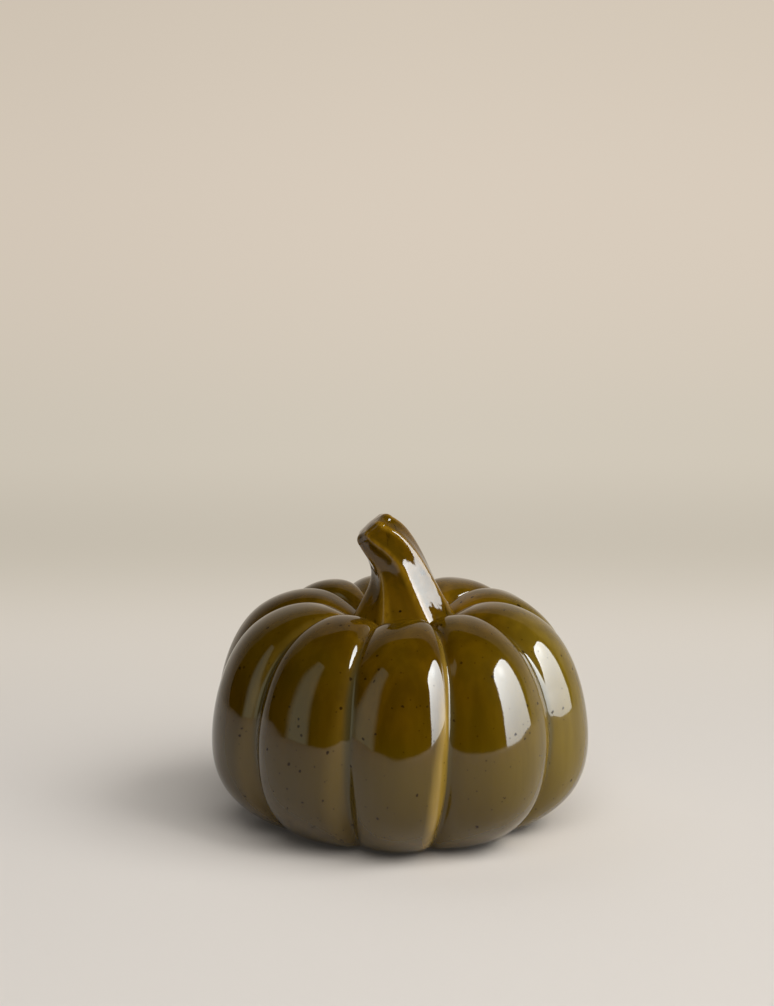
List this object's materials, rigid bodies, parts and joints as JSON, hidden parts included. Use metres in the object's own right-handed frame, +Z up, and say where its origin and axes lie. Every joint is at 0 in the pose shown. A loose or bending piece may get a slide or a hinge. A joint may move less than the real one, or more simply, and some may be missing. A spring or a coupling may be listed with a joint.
{
  "type": "ceramic pumpkin figure",
  "caption": "Small glazed ceramic pumpkin ornament: a hollow ribbed body with a twisted, leaning stem, made to stand on a shelf or table as seasonal decoration.",
  "frame": {"origin": "centre of the figure's plan outline, on the plane it stands on", "axes": "+Z up, -Y towards the front lobe, +X to the right seen from the front; the stem's tip leans towards -X"},
  "size_m": [0.1246, 0.128, 0.1041],
  "materials": {
    "body_glaze": "glossy olive and amber transparent glaze over a pale body",
    "stem_glaze": "glossy amber transparent glaze",
    "pad_felt": "matte pressed felt"
  },
  "bodies": {
    "root": {"body_shell": "body_glaze", "stem": "stem_glaze", "foot_pad_1": "pad_felt", "foot_pad_2": "pad_felt", "foot_pad_3": "pad_felt", "foot_pad_4": "pad_felt"}
  },
  "joints": []
}
